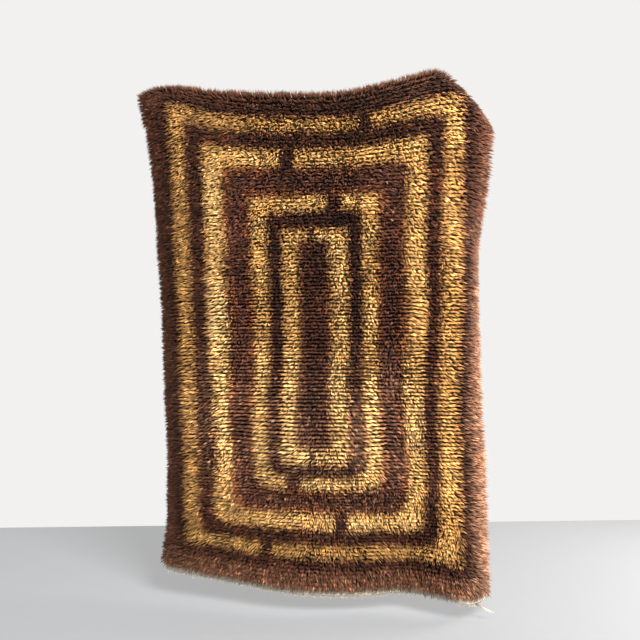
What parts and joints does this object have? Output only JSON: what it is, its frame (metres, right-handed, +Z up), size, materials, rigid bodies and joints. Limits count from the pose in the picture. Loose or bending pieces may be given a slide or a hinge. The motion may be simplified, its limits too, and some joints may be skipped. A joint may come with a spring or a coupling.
{
  "type": "rya rug",
  "caption": "Shaggy knotted-pile rug with nested brown and gold borders, hanging from its top edge with one upper corner folded back.",
  "frame": {"origin": "middle of the top edge of the ground weave, where it hangs lowest between its two holding places", "axes": "+Z up, +X to the right seen from the pile side, +Y to the back of the rug"},
  "size_m": [1.4791, 0.2934, 2.0653],
  "materials": {
    "ground_weave": "matte wool and linen weave",
    "pile": "long soft wool pile with a slight sheen",
    "top_locks": "long soft wool pile with a slight sheen",
    "left_locks": "long soft wool pile with a slight sheen",
    "right_locks": "long soft wool pile with a slight sheen",
    "bottom_locks": "long soft wool pile with a slight sheen",
    "warp_fringe": "matte linen yarn"
  },
  "bodies": {
    "root": {"ground_weave": "ground_weave", "pile": "pile", "top_locks": "top_locks", "left_locks": "left_locks", "right_locks": "right_locks", "bottom_locks": "bottom_locks", "warp_fringe": "warp_fringe"}
  },
  "joints": []
}
